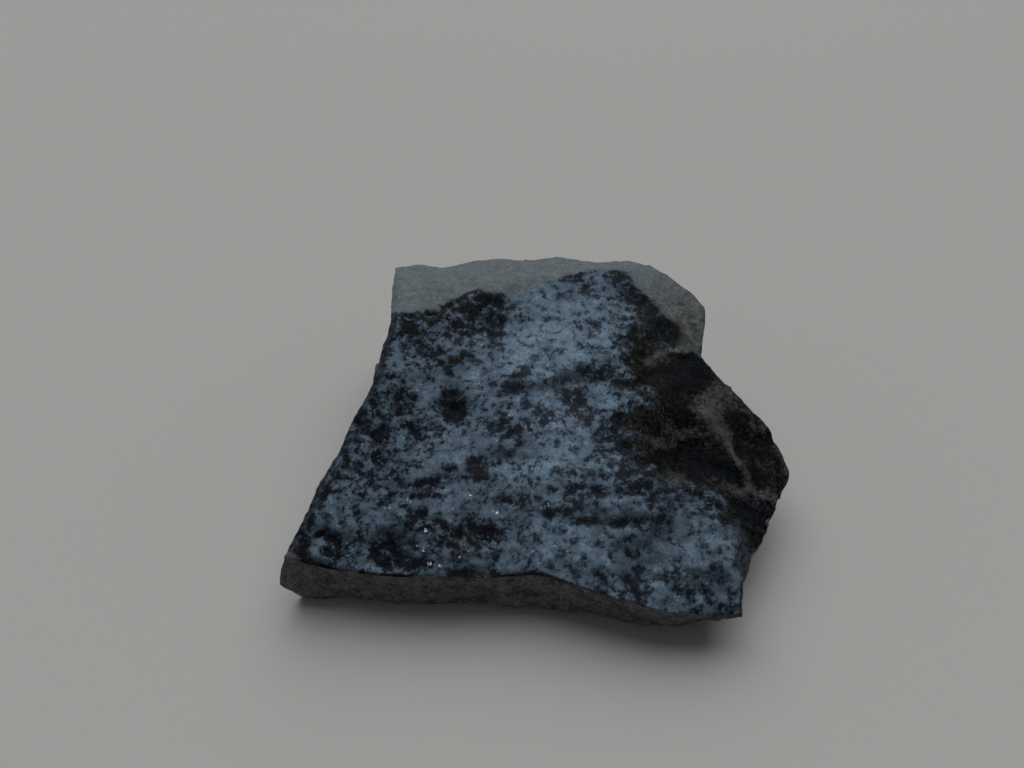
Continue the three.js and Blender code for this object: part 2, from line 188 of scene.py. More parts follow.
# The round nodule near the front left corner, and the dark ring round it.
NODULE = (-19.85, -16.0)
NODULE_RADIUS = 1.5
NODULE_HEIGHT = 0.12
RING_WIDTH = 0.255
RING_DEPTH = 0.08
RING_DARKNESS = 0.95

# The plane of the cleavage face, and the fold line past which it falls away to the right: the line's
# back end, and the direction across it.
FACE_FRONT_Y = -16.0
FACE_FRONT_HEIGHT = 6.0
FACE_SLOPE = 0.245
FOLD_BACK = (6.94, 15.7)
FOLD_ACROSS = (0.955, 0.2985)
FOLD_SLOPE = 0.3

# The cleavage face has a dark rim of this width along the front and the left. It fades out between
# the first place and the second, to the back and to the right.
DARK_RIM_FRONT = (-16.5, -15.0)
DARK_RIM_LEFT = (-18.5, -17.0)
DARK_RIM_WIDTH = 0.4
DARK_RIM_DARKNESS = 0.85

# How fast overlapping marks reach their limit, and the limit of overlapping scars.
MARK_GAIN = 1.1
SCAR_LIMIT = 0.9

# The torn facet may reach this far past the edge of the cleavage, and the distance to a painted glint
# is counted up to this reach.
TORN_OVERLAP = 0.5
GLINT_REACH = 2.0

# A point counts as the top of the stone more and more from the first of these to the second: how
# upright its normal is, and how high it lies above the plane of the cleavage face.
TOP_TILT = (0.45, 0.7)
TOP_HEIGHT = (-4.2, -3.2)

# The two kinds of grain in the relief: how wide their largest features are, how fast their finer
# layers weaken, and how many times finer each layer is than the one before.
COARSE_SIZE = 2.6
GRIT_SIZE = 0.9
GRAIN_FALLOFF = 0.8
GRAIN_STEP = 2.1

# The relief of the cleavage face: low steps, which run long from left to right, grit, and pits that
# deepen from the first darkness to the second, with some scatter.
STEP_SIZE = 1.6
STEP_STRETCH = (0.35, 1.0, 1.0)
STEP_HEIGHT = 0.1
PIT_SIZE = 1.1
PIT_DEPTH = 0.14
PIT_SCATTER = 0.9
PIT_DARKNESS = (0.2, 1.1)
CLEAVAGE_GRIT = 0.045

# The relief of the torn facet.
TORN_COARSE = 0.22
TORN_GRIT = 0.08
SCAR_HEIGHT = 0.12

# The relief of the broken faces, first where they are level and then where they are steep.
FRACTURE_COARSE = (0.1, 0.12)
FRACTURE_GRIT = (0.03, 0.06)

# A face goes from steep to level between these shares of an upright normal.
STEEP_TO_LEVEL = (0.3, 0.7)

# One relief gives way to the next between these depths inside the outlines.
CLEAVAGE_STARTS = (-0.2, 0.3)
TORN_STARTS = (-0.4, 0.4)
FRACTURE_ENDS = (-0.3, 0.2)

# Large and small hollows are chipped out of the steep faces, which are set in a little for them. The
# slope of each is read from noise at its centre times the scatter, and is made this much steeper.
CHIP_SIZE = 3.6
CHIP_HEIGHT = 0.2
SMALL_CHIP_SIZE = 1.4
SMALL_CHIP_HEIGHT = 0.07
CHIP_INSET = 0.16
CHIP_STEEPNESS = 2.0
CHIP_SCATTER = 4.7
CHIP_SEED = 3

# The relief is held back to this share at the ground, and is full from this height up.
GROUND_RELIEF = 0.3
FULL_RELIEF_HEIGHT = 0.6

# Dust and painted top light lie on broken faces that look up, more and more from the first share of
# an upright normal to the second and from the first height to the second: such faces are painted
# lighter and bluer, as if lit from above. It thins out to the right, between two places, by a share
# of itself.
DUST_AND_PAINTED_LIGHT_TILT = (0.2, 0.9)
DUST_AND_PAINTED_LIGHT_HEIGHT = (6.5, 8.5)
DUST_AND_PAINTED_LIGHT_THINS = (10.0, 16.0)
DUST_AND_PAINTED_LIGHT_LOSS = 0.5

# The solid's points crowd together at the front right corner. They are evened within this reach of
# the place and above this height.
CROWDED_TIP = (15.6, -20.5, 4.4)
CROWDED_REACH = 2.1
CROWDED_FLOOR = 3.7
CROWDED_ROUNDS = 4

# Edges of the solid that are sharper than this stay fairly crisp when it is subdivided.
SHARP_EDGE = radians(38)
CREASE = 0.75

# Points of the solid that are closer than this are one. Its triangles are paired up into four-sided
# faces that bend and skew no more than these angles.
MERGE_DISTANCE = 0.001
PAIR_BEND = radians(35)
PAIR_SKEW = radians(80)

# The flat faces that meet at the front right corner, each through its tip and two more points, and a
# point well inside them.
CORNER_TIP = (16.46, -21.5, 4.33)
CORNER_FACES = [
    (CORNER_TIP, on_solid(15.9, -19.4, 5.0), on_solid(13.6, -19.9, 4.8)),
    (CORNER_TIP, (13.6, -21.35, 4.3), on_solid(15.0, -20.3, 2.1)),
    (CORNER_TIP, (16.8, -19.7, 4.91), on_solid(15.5, -19.9, 1.6)),
]
CORNER_HEART = (13.5, -18.5, 2.5)

# The corner is squared fully within this reach of its middle, and less and less until it fades out.
CORNER_MIDDLE = (15.3, -20.7, 3.9)
CORNER_REACH = 2.8
CORNER_FADE = 4.2

# How often it is squared, how often it is evened out after each time, and how crisp its edges are.
CORNER_ROUNDS = 4
CORNER_SMOOTHING = 8
CORNER_CRISPNESS = 40

# The roughness and the metallic share of the dull stone, and then of the unspeckled metal.
ROUGHNESS = (0.66, 0.42)
METALLIC = (0.4, 0.95)

# The edges of the cleavage and of the torn facet wander by less than half of this to each side, and
# blend between these depths inside the outlines. A painted glint ends about between these distances.
EDGE_WANDER = 2.4
EDGE_BLEND = (-0.12, 0.12)
TORN_WANDER = 3.5
TORN_BLEND = (-0.8, 0.8)
GLINT_EDGE = (0.02, 0.14)

# The angular grains of the finish, as shares of a speckle's width: how wide they are, and how far
# their edges are bent.
FLAKES = (0.4, 0.3)
CRYSTALS = (0.2, 0.1)
SPARKS = (0.16, 0.05)

# The finish's patterns: how wide their largest features are, and how high the bumps stand.
EDGE_SIZE = 1.6
SHINE_SIZE = 2.2
SPARKLE_CLUSTER_SIZE = 5.0
RUST_SIZE = 4.5
MOTTLE_SIZE = 1.8
TINT_SIZE = 6.0
DUST_AND_PAINTED_LIGHT_SIZE = 1.2
GRAVEL_SIZE = 1.1
GLOSS_SIZE = 0.6
BUMP_SIZE = 0.7
BUMP_HEIGHT = 0.12
FLOOR_SHADE_SIZE = 200.0

# Where the camera stands, and where the key light comes from.
CAMERA_PLACE = (-3.06, -66.3, 67.5)
KEY_PLACE = (0.0, 360.0, 520.0)


def color_setting(name, description, default):
    """A colour that a user may change."""
    return FloatVectorProperty(
        name=name, description=description, default=default, min=0.0, max=1.0, subtype="COLOR"
    )


class StoneSettings(bpy.types.PropertyGroup):
    """Sizes and colours of the stone's surface."""

    levels: IntProperty(
        name="Levels", description="How often the solid's mesh is subdivided", default=2, min=0, max=2
    )
    relief: FloatProperty(
        name="Relief", description="Depth of the pits and grain, as a share of the real one",
        default=1.0, min=0.0, max=2.0, subtype="FACTOR",
    )
    speckle_size: FloatProperty(
        name="Speckle size", description="Width of the dark speckles on the cleavage face",
        default=0.0009, min=0.0002, unit="LENGTH",
    )
    sheen_color: color_setting("Sheen", "Colour of the metallic cleavage", (0.121, 0.177, 0.231))
    dull_sheen_color: color_setting(
        "Dull sheen", "Colour of tarnished cleavage", (0.054, 0.078, 0.107)
    )
    # Painted highlight: the pale colour of the painted sparkles and glints, standing in for light
    # caught by small crystals.
    painted_sparkle_color: color_setting(
        "Sparkles", "Colour of the smallest crystals that catch the light", (0.50, 0.56, 0.60)
    )
    speckle_color: color_setting("Speckles", "Colour of the dark speckles", (0.0070, 0.0087, 0.0128))
    rust_color: color_setting(
        "Rust", "Colour of the brown tint in the darkest marks", (0.0145, 0.0131, 0.0126)
    )
    fracture_color: color_setting(
        "Fracture", "Colour of the matte broken faces", (0.090, 0.093, 0.092)
    )
    stain_color: color_setting(
        "Stain", "Colour of the dark spots that spill over on the broken faces", (0.020, 0.019, 0.018)
    )
    # Dust and painted top light: the lighter, bluer colour of broken faces that look up.
    dust_and_painted_light_color: color_setting(
        "Dust", "Colour of the dust on the broken faces that look up", (0.150, 0.181, 0.193)
    )
    # Partly painted shade: the torn facet's near-black colours stand for a facet turned away from the
    # light.
    torn_and_shaded_color: color_setting("Torn facet", "Colour of the dark torn facet", (0.0018, 0.0026, 0.0046))
    torn_and_shaded_olive_color: color_setting(
        "Torn tint", "Second colour of the dark torn facet", (0.0040, 0.0041, 0.0032)
    )
    scar_color: color_setting(
        "Scars", "Colour of the pale scars on the torn facet", (0.120, 0.128, 0.131)
    )


class StudioSettings(bpy.types.PropertyGroup):
    """Floor, light and camera."""

    floor_color: color_setting("Floor", "Colour of the floor", (0.62, 0.62, 0.60))
    floor_size: FloatProperty(
        name="Floor size", description="Side of the square floor",
        default=12.0, min=0.5, unit="LENGTH",
    )
    key_strength: FloatProperty(
        name="Key light", description="Strength of the broad, even light from above and behind",
        default=1.62, min=0.0,
    )
    key_width: FloatProperty(
        name="Key width", description="How wide the key light looks from the stone",
        default=radians(77), min=0.0, max=radians(180), subtype="ANGLE",
    )
    ambient: FloatProperty(
        name="Ambient", description="Strength of the light from all round", default=0.07, min=0.0
    )
    horizon: FloatProperty(
        name="Horizon", description="Strength of the light from the backdrop at floor level",
        default=0.32, min=0.0,
    )
    horizon_height: FloatProperty(
        name="Horizon height", default=0.5, min=0.01, max=1.0,
        description="How far up the backdrop's light fades, as the sine of the angle",
    )
    lens: FloatProperty(
        name="Lens", description="Focal length of the camera", default=31.18, min=1.0, unit="CAMERA"
    )
    pitch: FloatProperty(
        name="Pitch", description="How far the camera looks down",
        default=radians(40), subtype="ANGLE",
    )


class Signal:
    """A number that a finish works out at each point. Sums on it add Math nodes."""

    def __init__(self, finish, socket):
        self.finish = finish
        self.socket = socket

    def math(self, operation, first, second):
        node = self.finish.node("ShaderNodeMath", {"operation": operation}, {0: first, 1: second})
        return Signal(self.finish, node.outputs[0])

    def __add__(self, other):
        return self.math("ADD", self, other)

    def __radd__(self, other):
        return self.math("ADD", other, self)

    def __sub__(self, other):
        return self.math("SUBTRACT", self, other)

    def __rsub__(self, other):
        return self.math("SUBTRACT", other, self)

    def __mul__(self, other):
        return self.math("MULTIPLY", self, other)

    def __rmul__(self, other):
        return self.math("MULTIPLY", other, self)


class Shading:
    """A tree of shader nodes and the one way to add to it."""

    def __init__(self, tree):
        self.tree = tree
        self.tree.nodes.clear()

    def node(self, kind, settings, sockets):
        """Adds a node, and sets or links its sockets."""
        made = self.tree.nodes.new(kind)
        for key, value in settings.items():
            setattr(made, key, value)
        for key, value in sockets.items():
            source = value.socket if isinstance(value, Signal) else value
            if isinstance(source, bpy.types.NodeSocket):
                self.tree.links.new(source, made.inputs[key])
            else:
                made.inputs[key].default_value = source
        return made


class Finish(Shading):
    """A procedural material and short ways to add its nodes."""

    def __init__(self, name):
        self.material = bpy.data.materials.new(name)
        self.material.use_nodes = True
        super().__init__(self.material.node_tree)

    def place(self):
        """Where each point lies on the piece."""
        return self.node("ShaderNodeTexCoord", {}, {}).outputs["Object"]

    def attribute(self, name):
        """A number that is stored on the mesh."""
        made = self.node("ShaderNodeAttribute", {"attribute_name": name}, {})
        return Signal(self, made.outputs["Fac"])

    def noise(self, size, detail=4.0, roughness=0.6, offset=0.0):
        """Fractal noise around zero, whose largest features are about this many millimetres.

        Another offset gives another pattern.
        """
        moved = self.node(
            "ShaderNodeMapping", {}, {"Vector": self.place(), "Location": (offset, offset, offset)}
        )
        made = self.node("ShaderNodeTexNoise", {}, {
            "Vector": moved.outputs[0], "Scale": 1.0 / (size * MM),
            "Detail": detail, "Roughness": roughness,
        })
        return Signal(self, made.outputs[0]) - 0.5

    def grains(self, size, warp=0.0):
        """A random number around zero for each angular grain, about this many millimetres wide."""
        scale = 1.0 / (size * MM)
        shift = self.node("ShaderNodeTexNoise", {}, {"Vector": self.place(), "Scale": scale})
        bent = self.node(
            "ShaderNodeVectorMath", {"operation": "SCALE"}, {0: shift.outputs[1], "Scale": warp * MM}
        )
        place = self.node(
            "ShaderNodeVectorMath", {"operation": "ADD"}, {0: self.place(), 1: bent.outputs[0]}
        )
        cells = self.node("ShaderNodeTexVoronoi", {}, {"Vector": place.outputs[0], "Scale": scale})
        return Signal(self, cells.outputs["Color"]) - 0.5

    def step(self, value, low, high):
        """0 where value is under low, 1 where it is over high, and smooth between them."""
        made = self.node("ShaderNodeMapRange", {"interpolation_type": "SMOOTHSTEP"}, {
            "Value": value, "From Min": low, "From Max": high,
        })
        return Signal(self, made.outputs[0])

    def mix(self, share, first, second):
        """A colour on the way from first to second."""
        first, second = (
            color if isinstance(color, bpy.types.NodeSocket) else (*color, 1.0)
            for color in (first, second)
        )
        made = self.node("ShaderNodeMix", {"data_type": "RGBA"}, {0: share, 6: first, 7: second})
        return made.outputs[2]

    def surface(self, sockets):
        """The material, with one surface shader of these sockets."""
        shader = self.node("ShaderNodeBsdfPrincipled", {}, sockets)
        self.node("ShaderNodeOutputMaterial", {}, {"Surface": shader.outputs[0]})
        return self.material


def smooth(bm, verts, rounds):
    """Evens out the given points of a mesh, as many times as it is told."""
    for _ in range(rounds):
        bmesh.ops.smooth_vert(
            bm, verts=verts, factor=0.5, use_axis_x=True, use_axis_y=True, use_axis_z=True
        )


def merged_copy(node, name):
    """A copy of a solid's mesh, its triangles merged and paired up and its sharp edges creased."""
    bm = bmesh.new()
    bm.from_mesh(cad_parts[node].data)
    bmesh.ops.remove_doubles(bm, verts=bm.verts, dist=MERGE_DISTANCE * MM)
    tip = Vector(CROWDED_TIP) * MM
    crowded = {
        v for v in bm.verts
        if (v.co - tip).length < CROWDED_REACH * MM and v.co.z > CROWDED_FLOOR * MM
    }
    smooth(bm, list(crowded), CROWDED_ROUNDS)
    crease = bm.edges.layers.float.new("crease_edge")
    for edge in bm.edges:
        sharp = edge.calc_face_angle(0.0) > SHARP_EDGE and not crowded.issuperset(edge.verts)
        edge[crease] = CREASE if sharp else 0.0
    bmesh.ops.join_triangles(
        bm, faces=bm.faces, angle_face_threshold=PAIR_BEND, angle_shape_threshold=PAIR_SKEW
    )
    mesh = bpy.data.meshes.new(name)
    bm.to_mesh(mesh)
    bm.free()
    return mesh


def subdivided(mesh, levels):
    """The same mesh as a smooth subdivision surface, with its creases kept."""
    holder = bpy.data.objects.new("holder", mesh)
    bpy.context.scene.collection.objects.link(holder)
    modifier = holder.modifiers.new("Rounding", "SUBSURF")
    modifier.levels = levels
    modifier.render_levels = levels
    shown = holder.evaluated_get(bpy.context.evaluated_depsgraph_get())
    finished = bpy.data.meshes.new_from_object(shown)
    bpy.data.objects.remove(holder)
    bpy.data.meshes.remove(mesh)
    return finished


def ramp(value, low, high):
    """0 where value is under low, 1 where it is over high, and smooth between them."""
    share = np.clip((value - low) / (high - low), 0, 1)
    return share * share * (3 - 2 * share)


def between(ends, share):
    """A number on the way from the first of two ends to the second."""
    first, second = ends
    return first + share * (second - first)


def onto_corner(points):
    """Where points near the front right corner land on the flat faces that meet there."""
    heart = np.array(CORNER_HEART)
    rays = points - heart
    total = np.zeros(len(points))
    for face in CORNER_FACES:
        first, second, third = np.array(face)
        normal = np.cross(second - first, third - first)
        total += np.exp(CORNER_CRISPNESS * (rays @ normal) / ((first - heart) @ normal))
    # How far each point lies on its way from the heart out to the first face, as a smooth maximum.
    reach = np.log(total) / CORNER_CRISPNESS
    return heart + rays / np.maximum(reach, 0.1)[:, None]


def lay_on_corner(verts):
    """Moves points onto the flat faces of the front right corner, and less so where it fades out."""
    points = np.array([v.co for v in verts]) / MM
    distance = np.linalg.norm(points - np.array(CORNER_MIDDLE), axis=1)
    share = 1 - ramp(distance, CORNER_REACH, CORNER_FADE)
    points += share[:, None] * (onto_corner(points) - points)
    for vert, point in zip(verts, points):
        vert.co = Vector(point) * MM


def square_corner(mesh):
    """Spreads the mesh evenly over the flat faces of the front right corner."""
    bm = bmesh.new()
    bm.from_mesh(mesh)
    middle = Vector(CORNER_MIDDLE) * MM
    near = [v for v in bm.verts if (v.co - middle).length < CORNER_FADE * MM]
    inner = [v for v in near if (v.co - middle).length < CORNER_REACH * MM]
    lay_on_corner(near)
    for _ in range(CORNER_ROUNDS):
        lay_on_corner(inner)
        smooth(bm, inner, CORNER_SMOOTHING)
    for vert, point in zip(inner, onto_corner(np.array([v.co for v in inner]) / MM)):
        vert.co = Vector(point) * MM
    bm.to_mesh(mesh)
    bm.free()


def distance_to_line(points, start, end):
    """How far each point in plan lies from a stretch of line."""
    start, along = np.array(start), np.array(end) - np.array(start)
    share = np.clip((points - start) @ along / max(along @ along, 1e-9), 0, 1)
    return np.linalg.norm(points - start - share[:, None] * along, axis=1)


def depth_inside(points, outline):
    """How far each point in plan lies inside a closed outline. It is negative outside."""
    nearest = np.full(len(points), 1e9)
    inside = np.zeros(len(points), bool)
    for start, end in zip(outline, outline[1:] + outline[:1]):
        nearest = np.minimum(nearest, distance_to_line(points, start, end))
        crosses = (points[:, 1] < start[1]) != (points[:, 1] < end[1])
        rise = end[1] - start[1] or 1e-9
        meets = start[0] + (points[:, 1] - start[1]) / rise * (end[0] - start[0])
        inside ^= crosses & (points[:, 0] < meets)
    return np.where(inside, nearest, -nearest)


def marks_at(points, marks):
    """The sum of the marks' strengths at each point in plan."""
    total = np.zeros(len(points))
    for *line, radius, strength in marks:
        start, end = (line[:2], line[2:]) if len(line) == 4 else (line, line)
        total += strength * np.exp(-((distance_to_line(points, start, end) / radius) ** 2))
    return total


def grain_at(points, size, octaves=3, shift=0.0):
    """Fractal noise at each point, about 1 high, whose largest features are this many millimetres.

    Another shift gives another pattern.
    """
    start = Vector((shift, shift, shift))
    return np.array([
        noise.fractal(Vector(point) / size + start, GRAIN_FALLOFF, GRAIN_STEP, octaves)
        for point in points
    ])


def chips_at(points, size, shift=0.0):
    """Flaked hollows that meet in ridges, about 1 high, each about this many millimetres wide.

    Each cell of the pattern is a plane with its own tilt, and the highest plane shows.
    """
    noise.seed_set(CHIP_SEED)
    heights = []
    for point in points:
        spot = Vector(point) / size + Vector((shift, shift, shift))
        planes = [
            CHIP_STEEPNESS * noise.noise_vector(CHIP_SCATTER * centre).dot(spot - centre)
            for centre in noise.voronoi(spot)[1]
        ]
        heights.append(max(planes))
    return np.array(heights)


def store(mesh, name, values):
    """Keeps one number for each point of the mesh, for the finish to read."""
    mesh.attributes.new(name, "FLOAT", "POINT").data.foreach_set("value", values.astype(np.float32))


def face_height_at(plan):
    """The height of the cleavage face's plane, folded down to the right, at each point in plan."""
    past_fold = np.maximum((plan - np.array(FOLD_BACK)) @ np.array(FOLD_ACROSS), 0)
    return FACE_FRONT_HEIGHT + FACE_SLOPE * (plan[:, 1] - FACE_FRONT_Y) - FOLD_SLOPE * past_fold


def surface_of(points, normals):
    """What the finish and the relief have to know at each point, by name."""
    plan = points[:, :2]
    above_face = points[:, 2] - face_height_at(plan)
    on_top = ramp(normals[:, 2], *TOP_TILT) * ramp(above_face, *TOP_HEIGHT)
    cleavage = depth_inside(plan, CLEAVAGE_OUTLINE)
    # Away from the top, a point counts as outside the cleavage.
    cleavage = np.where(on_top > 0, cleavage * on_top, -1.0) - (1 - on_top)

    from_nodule = np.linalg.norm(plan - np.array(NODULE), axis=1)
    ring = np.exp(-(((from_nodule - NODULE_RADIUS) / RING_WIDTH) ** 2))
    from_front = ramp(plan[:, 1], *DARK_RIM_FRONT)
    from_left = ramp(plan[:, 0], *DARK_RIM_LEFT)
    dark_rim = (1 - np.minimum(from_front, from_left)) * np.exp(-((cleavage / DARK_RIM_WIDTH) ** 2))

    lit = ramp(normals[:, 2], *DUST_AND_PAINTED_LIGHT_TILT) * ramp(points[:, 2], *DUST_AND_PAINTED_LIGHT_HEIGHT)
    from_glint = np.min([np.linalg.norm(plan - np.array(spot), axis=1) for spot in GLINTS], axis=0)
    marked = np.tanh(MARK_GAIN * marks_at(plan, DARK_MARKS))
    return {
        "cleavage": cleavage,
        "torn": np.minimum(depth_inside(plan, TORN_OUTLINE), cleavage + TORN_OVERLAP),
        "dark": marked + RING_DARKNESS * ring + DARK_RIM_DARKNESS * dark_rim,
        "clean_and_painted_sheen": marks_at(plan, BRIGHT_MARKS),
        "pale": SCAR_LIMIT * np.tanh(marks_at(plan, SCARS) / SCAR_LIMIT),
        "dust_and_painted_light": lit * (1 - DUST_AND_PAINTED_LIGHT_LOSS * ramp(plan[:, 0], *DUST_AND_PAINTED_LIGHT_THINS)),
        "glint": np.clip(from_glint, 0, GLINT_REACH),
        "ring": ring,
        "dome": 1 - ramp(from_nodule, 0, NODULE_RADIUS),
    }


def relief_of(points, normals, surface):
    """How far the fine relief lifts each point, in millimetres."""
    coarse = grain_at(points, COARSE_SIZE, 4, 3.0)
    grit = grain_at(points, GRIT_SIZE, 2, 11.0)

    steps = grain_at(points * np.array(STEP_STRETCH), STEP_SIZE, 2, 7.0)
    scatter = PIT_SCATTER * grain_at(points, PIT_SIZE, 3)
    pits = ramp(surface["dark"] - surface["clean_and_painted_sheen"] + scatter, *PIT_DARKNESS)
    nodule = NODULE_HEIGHT * surface["dome"] - RING_DEPTH * surface["ring"]
    on_cleavage = STEP_HEIGHT * steps - PIT_DEPTH * pits + CLEAVAGE_GRIT * grit + nodule

    on_torn = TORN_COARSE * coarse + TORN_GRIT * grit + SCAR_HEIGHT * surface["pale"]

    steep = 1 - ramp(normals[:, 2], *STEEP_TO_LEVEL)
    chipped = CHIP_HEIGHT * chips_at(points, CHIP_SIZE) - CHIP_INSET
    chipped += SMALL_CHIP_HEIGHT * chips_at(points, SMALL_CHIP_SIZE, 5.0)
    on_fracture = between(FRACTURE_COARSE, steep) * coarse + between(FRACTURE_GRIT, steep) * grit
    on_fracture += steep * chipped

    inside = ramp(surface["cleavage"], *CLEAVAGE_STARTS)
    torn = ramp(surface["torn"], *TORN_STARTS)
    outside = 1 - ramp(surface["cleavage"], *FRACTURE_ENDS)
    height = inside * (1 - torn) * on_cleavage + inside * torn * on_torn + outside * on_fracture
    above_ground = ramp(points[:, 2], 0.0, FULL_RELIEF_HEIGHT)
    return height * (GROUND_RELIEF + (1 - GROUND_RELIEF) * above_ground)


def roughen(mesh, relief):
    """Gives the mesh its fine relief, and stores on it what the finish has to know at each point."""
    flat = np.zeros(len(mesh.vertices) * 3, np.float32)
    mesh.vertices.foreach_get("co", flat)
    points = flat.reshape(-1, 3).astype(float) / MM
    mesh.vertices.foreach_get("normal", flat)
    normals = flat.reshape(-1, 3).astype(float)

    surface = surface_of(points, normals)
    points += normals * (relief * relief_of(points, normals, surface))[:, None]
    points[:, 2] = np.maximum(points[:, 2], 0.0)
    mesh.vertices.foreach_set("co", (points * MM).astype(np.float32).ravel())
    mesh.update()
    for name in ("dust_and_painted_light", "cleavage", "torn", "dark", "clean_and_painted_sheen", "pale", "glint"):
        store(mesh, name, surface[name])


def scaled(color, factor):
    """A colour made this many times as bright."""
    return tuple(factor * part for part in color)


class Grain:
    """The patterns that the stone's colours share, from the width of a speckle in millimetres."""

    def __init__(self, make, size):
        self.flakes, self.crystals, self.sparks = (
            make.grains(width * size, bend * size) for width, bend in (FLAKES, CRYSTALS, SPARKS)
        )
        patches = make.noise(size, 2, 0.5, 0.3)
        self.speckle = 2.3 * patches + 0.9 * self.flakes + 0.75 * self.crystals
        self.fleck = make.step(self.crystals + 0.6 * self.flakes, -0.25, 0.35)


def cleavage_color(make, settings, grain, speck):
    """Blue-grey metal, tarnished in places, under dark speckles with a rust tint.

    Its sheen is painted brighter and dimmer by area, and painted sparkles and glints stand in for
    highlights.
    """
    shine = make.noise(SHINE_SIZE, 3, 0.55, 0.5) + 0.5 * grain.flakes + 0.3 * grain.crystals
    # The broad bright marks paint the sheen brighter, and the marks under zero dimmer: painted sheen,
    # standing in for reflection.
    sheen = make.mix(
        make.step(shine + 0.4 * make.attribute("clean_and_painted_sheen"), -0.2, 0.6),
        settings.dull_sheen_color, settings.sheen_color,
    )
    # Painted sparkles: small grains painted pale into the sheen as highlights.
    cluster = make.step(make.noise(SPARKLE_CLUSTER_SIZE, 3, 0.6, 0.2), 0.0, 0.25)
    painted_sparkle = make.step(grain.sparks + 0.06 * cluster, 0.40, 0.46)
    sheen = make.mix(0.3 * painted_sparkle, sheen, settings.painted_sparkle_color)

    rust_patches = make.noise(RUST_SIZE, 3, 0.5, 0.9)
    rust = make.step(rust_patches + 0.17 * make.attribute("dark"), 0.05, 0.3)
    dark, rusty = settings.speckle_color, settings.rust_color
    speckles = make.mix(
        grain.fleck,
        make.mix(rust, scaled(dark, 0.55), scaled(rusty, 0.5)),
        make.mix(rust, scaled(dark, 1.7), scaled(rusty, 1.6)),
    )
    # Painted glints: the listed glassy points are painted in the pale colour of the sparkles, as
    # highlights.
    glint = 1 - make.step(make.attribute("glint") + 0.5 * grain.crystals, *GLINT_EDGE)
    return make.mix(glint, make.mix(speck, sheen, speckles), settings.painted_sparkle_color)


def torn_and_shaded_facet_color(make, settings, grain):
    """Near black, partly painted shade, with blue and olive flecks, under pale scars."""
    mottle = 1.1 * make.noise(MOTTLE_SIZE, 4, 0.65, 0.2) + 0.45 * grain.flakes + 0.5 * grain.crystals
    scar = make.step(0.85 * make.attribute("pale") + mottle, -0.12, 1.2)
    tint = make.step(make.noise(TINT_SIZE, 2, 0.5, 0.6), -0.1, 0.1)
    blue, olive = settings.torn_and_shaded_color, settings.torn_and_shaded_olive_color
    dark = make.mix(
        grain.fleck,
        make.mix(tint, scaled(blue, 0.3), scaled(olive, 0.3)),
        make.mix(tint, scaled(blue, 3.6), scaled(olive, 3.6)),
    )
    return make.mix(scar, dark, settings.scar_color)


def fracture_color(make, settings, grain):
    """Matte gritty grey, with dark spots that spill over from the face.

    Dust and painted top light make it lighter and bluer where it looks up.
    """
    dark = make.attribute("dark")
    # Dust and painted top light: broken faces that look up are painted lighter and bluer, as if lit
    # from above.
    dust_and_painted_light_patches = make.attribute("dust_and_painted_light") - 0.5 * dark + make.noise(DUST_AND_PAINTED_LIGHT_SIZE, 4, 0.6, 0.1)
    painted_light_and_dust = make.step(dust_and_painted_light_patches, 0.1, 0.9)
    gravel = 0.8 * make.noise(GRAVEL_SIZE, 3, 0.65, 0.1) + 0.35 * grain.flakes + 0.35 * grain.crystals
    bare, dust_and_painted_light = settings.fracture_color, settings.dust_and_painted_light_color
    broken = make.mix(
        make.step(gravel, -0.35, 0.35),
        make.mix(painted_light_and_dust, scaled(bare, 0.4), scaled(dust_and_painted_light, 0.75)),
        make.mix(painted_light_and_dust, scaled(bare, 1.75), scaled(dust_and_painted_light, 1.3)),
    )
    spill = 0.8 * dark + 0.5 * grain.speckle + 0.4 * make.attribute("cleavage")
    return make.mix(make.step(spill, 0.1, 0.9), broken, settings.stain_color)


def hematite_finish(settings):
    """Metallic speckled cleavage, a dull torn facet and matte broken faces, in one material."""
    make = Finish("hematite")
    grain = Grain(make, settings.speckle_size / MM)
    wobble = make.noise(EDGE_SIZE, 4, 0.65)
    cleavage = make.step(make.attribute("cleavage") + EDGE_WANDER * wobble, *EDGE_BLEND)
    torn_depth = make.attribute("torn") + TORN_WANDER * wobble + 1.6 * grain.speckle
    torn = make.step(torn_depth, *TORN_BLEND)
    # The bright marks thin the speckles; their broad ones are painted sheen, standing in for
    # reflection.
    clean_and_painted_sheen = make.attribute("clean_and_painted_sheen")
    speckled = 0.75 * make.attribute("dark") - 0.25 * clean_and_painted_sheen + grain.speckle
    speck = make.step(speckled, -0.38, 0.62) * (1 - 0.2 * clean_and_painted_sheen)

    on_top = make.mix(
        torn, cleavage_color(make, settings, grain, speck), torn_and_shaded_facet_color(make, settings, grain)
    )
    metal = cleavage * (1 - torn)
    roughness = between(ROUGHNESS, (1 - speck) * metal)
    bumps = 0.6 * make.noise(BUMP_SIZE, 5, 0.6, 0.4) + cleavage * (0.5 * grain.flakes - 0.35 * speck)
    bump = make.node("ShaderNodeBump", {}, {
        "Strength": 0.5, "Distance": BUMP_HEIGHT * MM, "Height": bumps,
    })
    return make.surface({
        "Base Color": make.mix(cleavage, fracture_color(make, settings, grain), on_top),
        "Metallic": between(METALLIC, metal),
        "Roughness": roughness - 0.1 * make.noise(GLOSS_SIZE, 3, 0.5, 0.6),
        "Normal": bump.outputs[0],
        "IOR": 1.45,
        "Specular IOR Level": 0.1,
    })


def floor_finish(settings):
    """A pale matte studio floor."""
    make = Finish("studio_floor")
    color = settings.floor_color
    shade = make.step(make.noise(FLOOR_SHADE_SIZE, 2, 0.5), -0.3, 0.3)
    return make.surface({
        "Base Color": make.mix(shade, scaled(color, 0.985), color),
        "Roughness": 0.9,
    })


